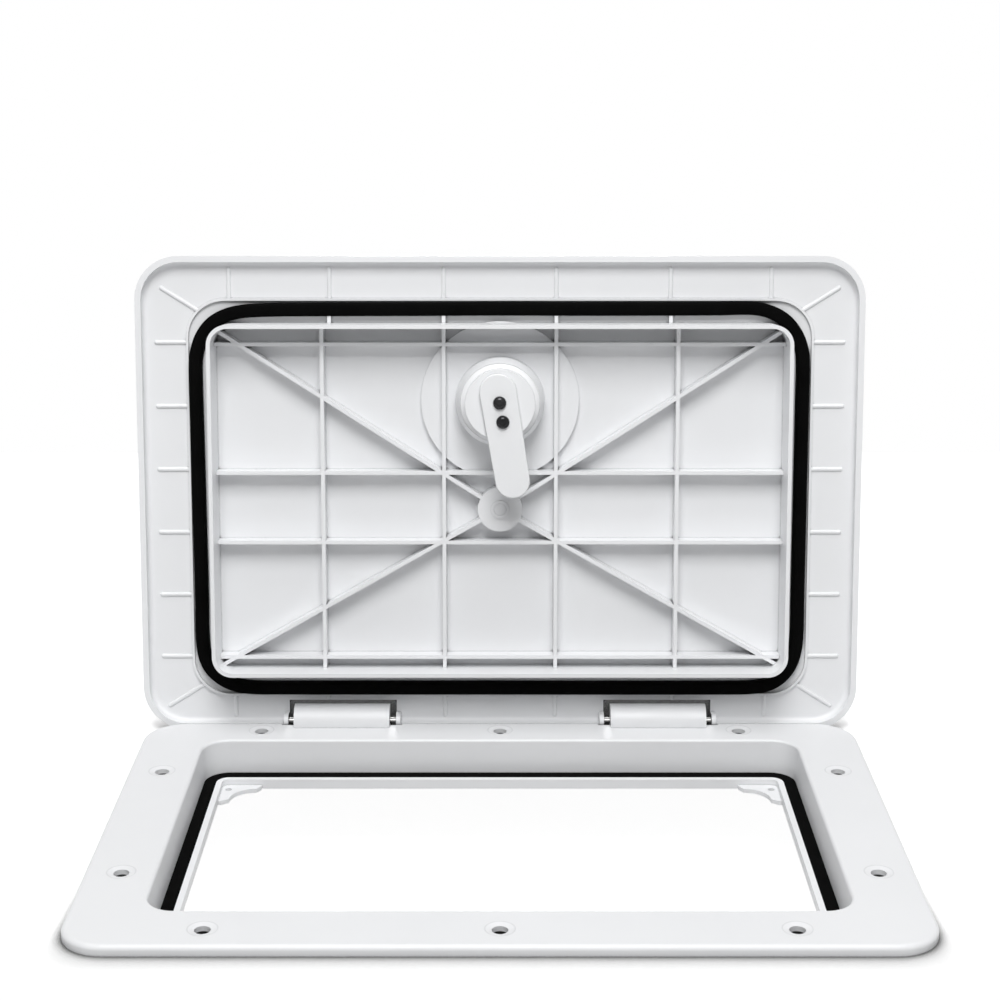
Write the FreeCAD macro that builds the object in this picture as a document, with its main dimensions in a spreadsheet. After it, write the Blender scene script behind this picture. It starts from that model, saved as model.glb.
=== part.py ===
import FreeCAD, Part
import Sketcher
import math
import os

from FreeCAD import Placement, Rotation, Vector

# Access hatch: a moulded deck frame with a drained, sealed opening and a hinged lid with a turning latch.
# The origin is the centre of the screw pattern on the deck plane. +Z points up, out of the deck.
# The hinge is at the rear (+Y). The lid is modelled closed, about its hinge axis, and stands open at rest.

doc = FreeCAD.newDocument("access_hatch")

# Driving dimensions in millimetres and degrees
SIZES = [
    ("frame_width", 369.0, "outer width of the deck frame"),
    ("frame_front", 122.8, "front edge of the deck frame, from the origin"),
    ("frame_rear", 117.6, "rear edge of the deck frame, from the origin"),
    ("frame_corner", 20.0, "outer corner radius of the deck frame"),
    ("flange_thick", 4.9, "thickness of the flange on the deck"),
    ("flange_round", 2.2, "rounding of the upper outer edge of the flange"),
    ("side_land", 32.4, "width of the flange at the sides of the opening"),
    ("front_land", 31.5, "width of the flange in front of the opening"),
    ("rear_land", 23.3, "width of the flange behind the opening"),
    ("opening_corner", 13.0, "corner radius of the opening"),
    ("opening_round", 1.4, "rounding of the upper edge of the opening"),
    ("opening_draft", 0.8, "inward lean of the opening wall down to the seal"),
    ("seal_drop", 17.8, "depth of the frame seal below the flange top"),
    ("seal_width", 6.1, "width of the frame seal"),
    ("seal_thick", 2.9, "thickness of the frame seal"),
    ("lip_thick", 2.9, "thickness of the upstanding lip inside the seal"),
    ("ledge_thick", 2.2, "thickness of the ledge under the seal"),
    ("tub_wall", 2.6, "thickness of the wall below the flange"),
    ("gusset_length", 20.0, "length of the corner gussets along the lip"),
    ("gusset_thick", 2.2, "thickness of the corner gussets"),
    ("gusset_neck", 5.2, "width of the corner gussets where their hollow edge ends"),
    ("gusset_bevel", 2.4, "length of the bevel at the gussets' ends"),
    ("gusset_tip", 1.5, "width left at the gussets' ends"),
    ("gusset_hole", 3.5, "diameter of the hole in each corner gusset"),
    ("gusset_hole_side", 3.7, "distance of that hole from the lip at the side"),
    ("gusset_hole_end", 5.9, "distance of that hole from the lip at the front or rear"),
    ("screw_hole", 7.0, "diameter of the deck screw holes"),
    ("screw_dish", 13.2, "diameter of the shallow dish round each screw hole"),
    ("screw_dish_depth", 0.75, "depth of that dish"),
    ("screw_inset_side", 27.6, "outer screw holes of the front and rear rows, inside the opening's sides"),
    ("screw_inset_rear", 9.8, "rear row of screw holes, from the frame's rear edge"),
    ("screw_inset_edge", 16.5, "side screw holes, from the frame's side edges"),
    ("side_screw_y", 110.8, "spacing of the two screw holes on each side"),
    ("hinge_setback", 1.5, "hinge axis behind the frame's rear edge"),
    ("hinge_lift", 0.8, "hinge axis above the flange top"),
    ("hinge_spread", 166.0, "distance between the middles of the two hinges"),
    ("barrel_width", 50.0, "width of each hinge barrel on the frame"),
    ("barrel_radius", 8.8, "radius of each hinge barrel"),
    ("pin_diameter", 3.0, "diameter of the hinge pins"),
    ("pin_play", 0.2, "play of the lid's ears round the pins, on the radius"),
    ("ear_thick", 2.4, "thickness of the lid's hinge ears"),
    ("ear_radius", 3.6, "radius of the lid's hinge ears"),
    ("ear_gap", 1.1, "gap between an ear and the flange slot round it"),
    ("open_angle", 98.23, "angle between the closed and the open lid"),
    ("lid_side_lap", 3.0, "reach of the lid beyond the frame at each side"),
    ("lid_front_lap", 1.2, "reach of the closed lid beyond the frame's front"),
    ("lid_rear", 4.7, "rear edge of the lid, from the hinge axis"),
    ("lid_corner", 22.5, "outer corner radius of the lid"),
    ("lid_gap", 0.3, "gap between the closed lid's rim and the flange"),
    ("lid_thick", 9.0, "height of the lid from its rim to its outer face"),
    ("lid_skin", 3.5, "thickness of the lid's top skin"),
    ("lid_rim", 3.1, "thickness of the lid's rim"),
    ("lid_round", 3.5, "rounding of the lid's outer edge"),
    ("lid_cove", 2.5, "rounding inside the lid's rim"),
    ("notch_width", 56.4, "width of the lid's notches round the hinge barrels"),
    ("notch_reach", 9.7, "front edge of the notches, from the hinge axis"),
    ("notch_corner", 2.0, "corner radius of the notches"),
    ("plug_side_gap", 3.4, "gap from the opening's sides to the closed plug wall"),
    ("plug_front_gap", 1.6, "gap from the opening's front to the closed plug wall"),
    ("plug_rear_gap", 2.2, "gap from the opening's rear to the closed plug wall"),
    ("plug_corner", 10.5, "outer corner radius of the plug wall"),
    ("plug_wall", 2.0, "thickness of the plug wall"),
    ("plug_gap", 0.4, "gap between the closed plug wall and the frame seal"),
    ("gasket_side_reach", 11.5, "reach of the lid gasket beyond the plug wall at the sides"),
    ("gasket_front_reach", 10.8, "reach of the lid gasket beyond the plug wall at the front"),
    ("gasket_rear_reach", 12.8, "reach of the lid gasket beyond the plug wall at the rear"),
    ("gasket_band", 6.7, "width of the lid gasket's section"),
    ("gasket_gap", 0.3, "step of the gasket's face inside the lid's rim"),
    ("gasket_corner_front", 28.0, "outer corner radius of the lid gasket at the front"),
    ("gasket_corner_rear", 22.0, "outer corner radius of the lid gasket at the rear"),
    ("gasket_round", 1.6, "rounding of the lid gasket's face"),
    ("keeper_gap", 0.6, "gap between the gasket and the low ridge round it"),
    ("keeper_thick", 1.2, "thickness of that ridge"),
    ("keeper_height", 1.8, "height of that ridge"),
    ("keeper_corner", 20.0, "corner radius of that ridge"),
    ("rib_thick", 1.9, "thickness of the ribs inside the plug wall"),
    ("rib_height", 9.5, "height of the ribs above the lid's floor"),
    ("rib_near_x", 28.9, "first pair of lengthways ribs, from the middle"),
    ("rib_far_x", 91.5, "second pair of lengthways ribs, from the middle"),
    ("rib_front_inset", 10.6, "foremost crossways rib, inside the front of the plug wall"),
    ("rib_mid_front_share", 0.577, "second crossways rib, as a share of the plug wall's depth"),
    ("rib_mid_rear_share", 0.3773, "third crossways rib, as a share of the plug wall's depth"),
    ("rib_rear_inset", 8.0, "rearmost crossways rib, inside the rear of the plug wall"),
    ("gap_rib_height", 4.0, "height of the short ribs between the plug wall and the gasket"),
    ("gap_rib_play", 0.3, "gap between those ribs and the gasket"),
    ("hub_share", 0.4725, "middle of the hub of the slanting ribs, as a share of the plug wall's depth"),
    ("hub_radius", 11.5, "radius of the hub"),
    ("hub_rise", 0.4, "rise of the hub above the ribs"),
    ("hub_ring_radius", 4.7, "outer radius of the small ring on the hub"),
    ("hub_ring_wall", 1.4, "thickness of the small ring on the hub"),
    ("hub_ring_height", 0.8, "height of the small ring on the hub"),
    ("bead_radius", 1.2, "radius of the half-round ribs on the lid's border"),
    ("bead_side_gap", 10.1, "gap between the ends of the side ribs and the lid's edge"),
    ("bead_rim_gap", 3.6, "gap between the front and rear border ribs and the inside of the rim"),
    ("bead_near_x", 29.0, "first pair of front and rear border ribs, from the middle"),
    ("bead_far_x", 87.9, "second pair of front border ribs, from the middle"),
    ("bead_notch_x", 90.8, "second pair of rear border ribs, ending at the notches"),
    ("bead_sink", 0.15, "depth of those ribs' middle line below the lid's floor"),
    ("bead_side_first", 33.6, "rearmost side rib, from the hinge axis"),
    ("bead_side_last", 10.0, "foremost side rib, inside the front of the plug wall"),
    ("bead_corner_x", 139.7, "outermost front and rear border ribs, from the middle"),
    ("bead_notch_gap", 0.3, "gap between those ribs' ends and the notches"),
    ("bead_corner_angle", 32.0, "angle of the slanting corner ribs"),
    ("bead_corner_length", 22.3, "length of the slanting corner ribs"),
    ("latch_inset", 39.8, "latch axis, inside the front of the plug wall"),
    ("recess_radius", 38.3, "radius of the knob's recess in the lid"),
    ("recess_depth", 4.4, "depth of the knob's recess"),
    ("recess_floor", 2.6, "thickness of the recess floor"),
    ("recess_wall", 2.5, "wall round the recess, seen as a disc under the lid"),
    ("boss_radius", 22.7, "outer radius of the latch boss under the lid"),
    ("boss_top_radius", 20.4, "radius of the latch boss at its end"),
    ("boss_taper", 6.0, "height over which the boss narrows to its end"),
    ("boss_rise", 14.0, "end of the latch boss beyond the lid's rim"),
    ("drum_radius", 17.6, "radius of the knob's drum"),
    ("drum_play", 0.3, "play of the drum in the boss, on the radius"),
    ("knob_play", 0.8, "gap round the knob in its recess"),
    ("knob_sink", 0.3, "step of the knob's face below the lid's face"),
    ("washer_play", 0.1, "gap between that washer and the recess floor"),
    ("washer_thick", 0.8, "thickness of the washer under the knob"),
    ("washer_band", 5.0, "width of that washer"),
    ("grip_width", 8.0, "width of the grip bar across the knob"),
    ("grip_well", 14.9, "radius of the finger wells beside the grip bar"),
    ("grip_depth", 15.0, "depth of the finger wells"),
    ("ring_thick", 2.4, "thickness of the drum's retaining ring"),
    ("ring_radius", 20.0, "outer radius of the retaining ring"),
    ("ring_seat", 16.4, "radius of the groove that holds the retaining ring"),
    ("ring_face", 18.0, "outer radius of the ring's flat end face"),
    ("ring_gap", 0.3, "gap between the retaining ring and the boss"),
    ("o_ring_section", 2.0, "section diameter of the drum's O-ring"),
    ("o_ring_groove", 2.4, "width of the groove that holds the O-ring"),
    ("o_ring_drop", 6.0, "O-ring below the knob's disc"),
    ("o_ring_play", 0.1, "gap between the O-ring and the bore"),
    ("tongue_gap", 0.4, "gap between the locked tongue and the underside of the ledge"),
    ("tongue_thick", 3.2, "thickness of the latch tongue"),
    ("tongue_tip_thick", 2.5, "thickness of the tongue at its tip"),
    ("tongue_width", 18.6, "width of the tongue at the screws"),
    ("tongue_tip_width", 17.4, "width of the tongue at its tip"),
    ("tongue_reach", 47.8, "tip of the tongue, from the latch axis"),
    ("tongue_tail", 15.7, "other end of the tongue, from the latch axis"),
    ("tongue_round", 0.6, "rounding of the tongue's outer edge"),
    ("tongue_crease", 19.0, "crease across the tongue, from the latch axis"),
    ("cut_margin", 1.0, "reach of cutting tools beyond the surface that they cut"),
    ("tongue_rest", 9.4, "angle of the unlocked tongue from the lid's middle line"),
    ("screw_pitch", 9.8, "distance between the two tongue screws"),
    ("screw_back", 1.1, "inner tongue screw, behind the latch axis"),
    ("head_diameter", 6.7, "head diameter of the tongue screws"),
    ("head_height", 2.3, "head height of the tongue screws"),
    ("head_flat", 3.4, "diameter of the flat on the tongue screws' heads"),
    ("head_bulge", 0.4, "bulge of the tongue screws' heads beyond a plain cone"),
    ("shank_diameter", 4.0, "shank diameter of the tongue screws"),
    ("shank_length", 9.0, "shank length of the tongue screws"),
    ("shank_play", 0.2, "play of the shanks in the tongue, on the radius"),
    ("socket_across", 2.5, "width across flats of the screws' sockets"),
    ("socket_depth", 1.3, "depth of the screws' sockets"),
    ("insert_diameter", 6.0, "outer diameter of the threaded inserts in the drum"),
    ("insert_length", 8.0, "length of the threaded inserts"),
]

# Places worked out from the driving dimensions, so that what fits together moves together
PLACES = [
    ("frame_depth", "Sizes.frame_front + Sizes.frame_rear"),
    ("frame_centre", "(Sizes.frame_rear - Sizes.frame_front) / 2"),
    ("opening_width", "Sizes.frame_width - 2 * Sizes.side_land"),
    ("opening_front", "Sizes.frame_front - Sizes.front_land"),
    ("opening_rear", "Sizes.frame_rear - Sizes.rear_land"),
    ("screw_span_x", "opening_width / 2 - Sizes.screw_inset_side"),
    ("screw_span_y", "2 * (Sizes.frame_rear - Sizes.screw_inset_rear)"),
    ("side_screw_x", "Sizes.frame_width - 2 * Sizes.screw_inset_edge"),
    ("hinge_rear", "Sizes.frame_rear + Sizes.hinge_setback"),
    ("lid_width", "Sizes.frame_width + 2 * Sizes.lid_side_lap"),
    ("lid_front", "hinge_rear + Sizes.frame_front + Sizes.lid_front_lap"),
    ("plug_width", "opening_width - 2 * Sizes.plug_side_gap"),
    ("plug_front", "hinge_rear + opening_front - Sizes.plug_front_gap"),
    ("plug_rear", "hinge_rear - opening_rear + Sizes.plug_rear_gap"),
    ("gasket_width", "plug_width + 2 * Sizes.gasket_side_reach"),
    ("gasket_front", "plug_front + Sizes.gasket_front_reach"),
    ("gasket_rear", "plug_rear - Sizes.gasket_rear_reach"),
    ("rib_front", "plug_front - Sizes.rib_front_inset"),
    ("rib_mid_front", "plug_rear + Sizes.rib_mid_front_share * (plug_front - plug_rear)"),
    ("rib_mid_rear", "plug_rear + Sizes.rib_mid_rear_share * (plug_front - plug_rear)"),
    ("rib_rear", "plug_rear + Sizes.rib_rear_inset"),
    ("hub_centre", "plug_rear + Sizes.hub_share * (plug_front - plug_rear)"),
    ("latch_centre", "plug_front - Sizes.latch_inset"),
    ("bead_side_reach", "lid_width / 2 - Sizes.bead_side_gap"),
    ("bead_side_pitch", "(plug_front - Sizes.bead_side_last - Sizes.bead_side_first) / 5"),
    ("opening_depth", "opening_front + opening_rear"),
    ("opening_centre", "(opening_rear - opening_front) / 2"),
    ("seat_width", "opening_width - 2 * Sizes.opening_draft"),
    ("seat_depth", "opening_depth - 2 * Sizes.opening_draft"),
    ("seal_level", "Sizes.flange_thick - Sizes.seal_drop"),
    ("ledge_level", "seal_level - Sizes.seal_thick"),
    ("tub_level", "ledge_level - Sizes.ledge_thick"),
    ("lip_width", "seat_width - 2 * Sizes.seal_width"),
    ("lip_depth", "seat_depth - 2 * Sizes.seal_width"),
    ("clear_width", "lip_width - 2 * Sizes.lip_thick"),
    ("clear_depth", "lip_depth - 2 * Sizes.lip_thick"),
    ("seat_corner", "Sizes.opening_corner - Sizes.opening_draft"),
    ("lip_corner", "max(seat_corner - Sizes.seal_width; 1.5)"),
    ("clear_corner", "max(lip_corner - Sizes.lip_thick; 1)"),
    ("hinge_level", "Sizes.flange_thick + Sizes.hinge_lift"),
    ("rim_level", "Sizes.lid_gap - Sizes.hinge_lift"),
    ("face_level", "rim_level + Sizes.lid_thick"),
    ("floor_level", "face_level - Sizes.lid_skin"),
    ("lid_depth", "lid_front + Sizes.lid_rear"),
    ("lid_centre", "(Sizes.lid_rear - lid_front) / 2"),
    ("pan_width", "lid_width - 2 * Sizes.lid_rim"),
    ("pan_depth", "lid_depth - 2 * Sizes.lid_rim"),
    ("pan_corner", "Sizes.lid_corner - Sizes.lid_rim"),
    ("plug_depth", "plug_front - plug_rear"),
    ("plug_centre", "-(plug_front + plug_rear) / 2"),
    ("plug_end", "rim_level - Sizes.lid_gap - Sizes.seal_drop + Sizes.plug_gap"),
    ("gasket_depth", "gasket_front - gasket_rear"),
    ("gasket_centre", "-(gasket_front + gasket_rear) / 2"),
    ("keeper_width", "gasket_width + 2 * Sizes.keeper_gap + 2 * Sizes.keeper_thick"),
    ("keeper_depth", "gasket_depth + 2 * Sizes.keeper_gap + 2 * Sizes.keeper_thick"),
    ("recess_level", "face_level - Sizes.recess_depth"),
    ("disc_level", "recess_level - Sizes.recess_floor"),
    ("disc_radius", "Sizes.recess_radius + Sizes.recess_wall"),
    ("boss_level", "rim_level - Sizes.boss_rise"),
    ("bore_radius", "Sizes.drum_radius + Sizes.drum_play"),
    ("knob_radius", "Sizes.recess_radius - Sizes.knob_play"),
    ("knob_face", "face_level - Sizes.knob_sink"),
    ("washer_level", "recess_level + Sizes.washer_play"),
    ("knob_seat", "washer_level + Sizes.washer_thick"),
    ("ring_top", "boss_level - Sizes.ring_gap"),
    ("ring_bottom", "ring_top - Sizes.ring_thick"),
    ("tongue_top", "rim_level - Sizes.lid_gap - Sizes.flange_thick + tub_level - Sizes.tongue_gap"),
    ("tongue_bottom", "tongue_top - Sizes.tongue_thick"),
    ("o_ring_level", "knob_seat - Sizes.o_ring_drop"),
    ("o_ring_track", "bore_radius - Sizes.o_ring_play - Sizes.o_ring_section / 2"),
    ("outer_screw", "Sizes.screw_pitch - Sizes.screw_back"),
    ("slot_front", "hinge_rear - Sizes.ear_radius - Sizes.ear_gap"),
    ("slot_half", "Sizes.notch_width / 2 + Sizes.ear_thick + Sizes.ear_gap"),
]


def make_sheet(name, rows, formula):
    """Fill a spreadsheet with one named cell a row."""
    sheet = doc.addObject("Spreadsheet::Sheet", name)
    for number, row in enumerate(rows, start=1):
        sheet.set("A%d" % number, row[-1] if not formula else row[0])
        sheet.set("B%d" % number, "=" + row[1] if formula else str(row[1]))
        sheet.setAlias("B%d" % number, row[0])
    return sheet


sizes_sheet = make_sheet("Sizes", SIZES, False)
places_sheet = make_sheet("Places", PLACES, True)
doc.recompute()


def value(expression):
    """Number that an expression of the sheets stands for."""
    result = places_sheet.evalExpression(expression)
    return float(getattr(result, "Value", result))


def size(name):
    """Shorthand for one driving dimension."""
    return value("Sizes." + name)


def place(name):
    """Shorthand for one worked-out place."""
    return value("Places." + name)


def bind(feature, **expressions):
    """Tie properties of a feature to the sheets."""
    for name, expression in expressions.items():
        feature.setExpression(name.replace("__", "."), expression)


def new_body(label):
    body = doc.addObject("PartDesign::Body", label)
    body.Label = label
    return body


def origin_plane(body, role):
    for feature in body.Origin.OriginFeatures:
        if feature.Role == role:
            return feature


def new_sketch(body, name, role="XY_Plane", level="0", centre="0", across="0"):
    """Sketch on an origin plane, moved along its normal by level and within it by across and centre."""
    sketch = body.newObject("Sketcher::SketchObject", name)
    sketch.AttachmentSupport = (origin_plane(body, role), [""])
    sketch.MapMode = "FlatFace"
    bind(sketch, AttachmentOffset__Base__x=across, AttachmentOffset__Base__y=centre,
         AttachmentOffset__Base__z=level)
    return sketch


def constrain(sketch, expression, kind, *where):
    """Dimension of a sketch, tied to an expression."""
    number = sketch.addConstraint(Sketcher.Constraint(kind, *where, value(expression)))
    label = "size%d" % number
    sketch.renameConstraint(number, label)
    sketch.setExpression("Constraints." + label, expression)


ORIGIN = -1
X_AXIS = -1
Y_AXIS = -2
START = 1
END = 2
CENTRE = 3


def fix_point(sketch, geometry, point, across, along):
    """Place a point of a sketch from its origin. Either side of the origin and on its axes."""
    for kind, expression, axis in (("DistanceX", across, Y_AXIS), ("DistanceY", along, X_AXIS)):
        amount = value(expression)
        if abs(amount) < 1e-9:
            sketch.addConstraint(Sketcher.Constraint("PointOnObject", geometry, point, axis))
        elif amount > 0:
            constrain(sketch, expression, kind, ORIGIN, START, geometry, point)
        else:
            constrain(sketch, "-(%s)" % expression, kind, geometry, point, ORIGIN, START)


def circle(sketch, radius, across="0", along="0"):
    centre = Vector(value(across), value(along), 0)
    number = sketch.addGeometry(Part.Circle(centre, Vector(0, 0, 1), value(radius)), False)
    constrain(sketch, radius, "Radius", number)
    fix_point(sketch, number, CENTRE, across, along)


def polygon(sketch, corners):
    """Closed outline through corners given as pairs of expressions."""
    points = [Vector(value(across), value(along), 0) for across, along in corners]
    lines = []
    for start, end in zip(points, points[1:] + points[:1]):
        lines.append(sketch.addGeometry(Part.LineSegment(start, end), False))
    for line, following in zip(lines, lines[1:] + lines[:1]):
        sketch.addConstraint(Sketcher.Constraint("Coincident", line, END, following, START))
    for line, (across, along) in zip(lines, corners):
        fix_point(sketch, line, START, across, along)


def rounded_rectangle(sketch, width, depth, front_radius, rear_radius=None):
    """Rectangle round the sketch's origin with rounded corners, front being its lower side."""
    rear_radius = rear_radius or front_radius
    half, reach = value(width) / 2, value(depth) / 2
    front, rear = value(front_radius), value(rear_radius)
    sides = [((front - half, -reach), (half - front, -reach)), ((half, front - reach), (half, reach - rear)),
             ((half - rear, reach), (rear - half, reach)), ((-half, reach - rear), (-half, front - reach))]
    lines = [sketch.addGeometry(Part.LineSegment(Vector(*start, 0), Vector(*end, 0)), False)
             for start, end in sides]
    rounds = [((half - front, front - reach), front, -90), ((half - rear, reach - rear), rear, 0),
              ((rear - half, reach - rear), rear, 90), ((front - half, front - reach), front, 180)]
    arcs = []
    for centre, radius, start in rounds:
        ring = Part.Circle(Vector(*centre, 0), Vector(0, 0, 1), radius)
        arc = Part.ArcOfCircle(ring, math.radians(start), math.radians(start + 90))
        arcs.append(sketch.addGeometry(arc, False))
    for number in range(4):
        sketch.addConstraint(Sketcher.Constraint("Tangent", lines[number], END, arcs[number], START))
        following = lines[(number + 1) % 4]
        sketch.addConstraint(Sketcher.Constraint("Tangent", arcs[number], END, following, START))
        direction = "Horizontal" if number % 2 == 0 else "Vertical"
        sketch.addConstraint(Sketcher.Constraint(direction, lines[number]))
    sketch.addConstraint(Sketcher.Constraint("Equal", arcs[0], arcs[3]))
    sketch.addConstraint(Sketcher.Constraint("Equal", arcs[1], arcs[2]))
    constrain(sketch, front_radius, "Radius", arcs[0])
    constrain(sketch, rear_radius, "Radius", arcs[1])
    half_width, half_depth = "(%s) / 2" % width, "(%s) / 2" % depth
    constrain(sketch, half_depth, "DistanceY", lines[0], START, ORIGIN, START)
    constrain(sketch, half_width, "DistanceX", ORIGIN, START, lines[1], START)
    constrain(sketch, half_depth, "DistanceY", ORIGIN, START, lines[2], START)
    constrain(sketch, half_width, "DistanceX", lines[3], START, ORIGIN, START)


def pad(body, sketch, length, downward=False, midplane=False):
    feature = body.newObject("PartDesign::Pad", sketch.Name + "_pad")
    feature.Profile = sketch
    bind(feature, Length=length)
    feature.Reversed = downward
    feature.Midplane = midplane
    return feature


def pocket(body, sketch, length, upward=False, midplane=False):
    feature = body.newObject("PartDesign::Pocket", sketch.Name + "_pocket")
    feature.Profile = sketch
    bind(feature, Length=length)
    feature.Reversed = upward
    feature.Midplane = midplane
    return feature


def edges_where(feature, test):
    """Names of a feature's edges whose ends and middle all pass a test."""
    names = []
    for number, edge in enumerate(feature.Shape.Edges, start=1):
        middle = edge.valueAt((edge.FirstParameter + edge.LastParameter) / 2)
        points = [vertex.Point for vertex in edge.Vertexes] + [middle]
        if all(test(point) for point in points):
            names.append("Edge%d" % number)
    return names


def fillet(body, base, test, radius):
    """Round those edges of a feature that pass a test."""
    doc.recompute()
    feature = body.newObject("PartDesign::Fillet", base.Name + "_round")
    feature.Base = (base, edges_where(base, test))
    bind(feature, Radius=radius)
    return feature


def near(number, other):
    return abs(number - other) < 1e-4


# Deck frame: one moulding of flange, tub wall, ledge, lip, corner gussets and hinge barrels
def make_frame():
    body = new_body("frame")

    outline = new_sketch(body, "flange_outline", centre="Places.frame_centre")
    rounded_rectangle(outline, "Sizes.frame_width", "Places.frame_depth", "Sizes.frame_corner")
    flange = pad(body, outline, "Sizes.flange_thick")
    top = size("flange_thick")
    edge = fillet(body, flange, lambda point: near(point.z, top), "Sizes.flange_round")

    tub = new_sketch(body, "tub_outline", centre="Places.opening_centre")
    rounded_rectangle(tub, "Places.seat_width + 2 * Sizes.tub_wall", "Places.seat_depth + 2 * Sizes.tub_wall",
                      "Places.seat_corner + Sizes.tub_wall")
    pad(body, tub, "-Places.tub_level", downward=True)

    mouth = new_sketch(body, "opening_top", level="Sizes.flange_thick", centre="Places.opening_centre")
    rounded_rectangle(mouth, "Places.opening_width", "Places.opening_depth", "Sizes.opening_corner")
    throat = new_sketch(body, "opening_bottom", level="Places.seal_level", centre="Places.opening_centre")
    rounded_rectangle(throat, "Places.seat_width", "Places.seat_depth", "Places.seat_corner")
    shaft = body.newObject("PartDesign::SubtractiveLoft", "opening_shaft")
    shaft.Profile = mouth
    shaft.Sections = [throat]
    shaft.Ruled = True

    groove = new_sketch(body, "seal_groove", level="Places.seal_level", centre="Places.opening_centre")
    rounded_rectangle(groove, "Places.seat_width", "Places.seat_depth", "Places.seat_corner")
    rounded_rectangle(groove, "Places.lip_width", "Places.lip_depth", "Places.lip_corner")
    pocket(body, groove, "Sizes.seal_thick")

    clear = new_sketch(body, "clear_opening", level="Places.seal_level", centre="Places.opening_centre")
    rounded_rectangle(clear, "Places.clear_width", "Places.clear_depth", "Places.clear_corner")
    hollow = pocket(body, clear, "Places.seal_level - Places.tub_level")

    def on_mouth(point):
        inside = abs(point.x) < place("opening_width") / 2 + 0.01
        return inside and near(point.z, top) and abs(point.y) < place("opening_rear") + 0.01
    fillet(body, hollow, on_mouth, "Sizes.opening_round")

    for side in (-1, 1):
        for end in (-1, 1):
            add_gusset(body, side, end)

    for side in (-1, 1):
        add_barrel(body, side)

    add_screw_holes(body)
    return body


def add_gusset(body, side, end):
    """Flat gusset with a hollow edge across one lower corner of the lip."""
    name = "gusset_%s_%s" % ("left" if side < 0 else "right", "front" if end < 0 else "rear")
    outline = new_sketch(body, name, level="Places.tub_level", centre="Places.opening_centre")
    inner_x = "%d * (Places.clear_width / 2 + Sizes.lip_thick / 2)" % side
    inner_y = "%d * (Places.clear_depth / 2 + Sizes.lip_thick / 2)" % end

    def spot(from_side, from_end):
        """Point at these distances from the lip's two inner faces."""
        return ("%d * (Places.clear_width / 2 - %s)" % (side, from_side),
                "%d * (Places.clear_depth / 2 - %s)" % (end, from_end))
    full, shoulder = "Sizes.gusset_length", "(Sizes.gusset_length - Sizes.gusset_bevel)"
    corners = [(inner_x, inner_y), (spot(full, "0")[0], inner_y), spot(full, "Sizes.gusset_tip"),
               spot(shoulder, "Sizes.gusset_neck"), spot("Sizes.gusset_neck", shoulder),
               spot("Sizes.gusset_tip", full), (inner_x, spot("0", full)[1])]
    points = [Vector(value(across), value(along), 0) for across, along in corners]
    hollow_centre = Vector(points[3].x, points[4].y, 0)
    arc, turned = quarter_arc(outline, hollow_centre, points[3], points[4])
    ends = [(arc, END), (arc, START)] if turned else [(arc, START), (arc, END)]
    lines = {}
    for number in (0, 1, 2, 4, 5, 6):
        lines[number] = sketch_line(outline, points[number], points[(number + 1) % 7])
    for first, second in ((0, 1), (1, 2), (4, 5), (5, 6), (6, 0)):
        join(outline, (lines[first], END), (lines[second], START))
    join(outline, (lines[2], END), ends[0])
    join(outline, ends[1], (lines[4], START))
    for number, line in lines.items():
        fix_point(outline, line, START, *corners[number])
    fix_point(outline, lines[2], END, *corners[3])
    constrain(outline, "Sizes.gusset_length - Sizes.gusset_bevel - Sizes.gusset_neck", "Radius", arc)
    hole_x, hole_y = spot("Sizes.gusset_hole_side", "Sizes.gusset_hole_end")
    circle(outline, "Sizes.gusset_hole / 2", hole_x, hole_y)
    pad(body, outline, "Sizes.gusset_thick")


def sketch_line(sketch, start, end):
    return sketch.addGeometry(Part.LineSegment(start, end), False)


def join(sketch, first, second):
    sketch.addConstraint(Sketcher.Constraint("Coincident", *first, *second))


def quarter_arc(sketch, centre, start, end):
    """Quarter circle between two points. Says whether it runs from the second to the first."""
    ring = Part.Circle(centre, Vector(0, 0, 1), (start - centre).Length)
    first = math.atan2(start.y - centre.y, start.x - centre.x)
    last = math.atan2(end.y - centre.y, end.x - centre.x)
    turn = (last - first) % (2 * math.pi)
    backward = turn > math.pi
    if backward:
        first, last = last, first
    return sketch.addGeometry(Part.ArcOfCircle(ring, first, last), False), backward


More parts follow.
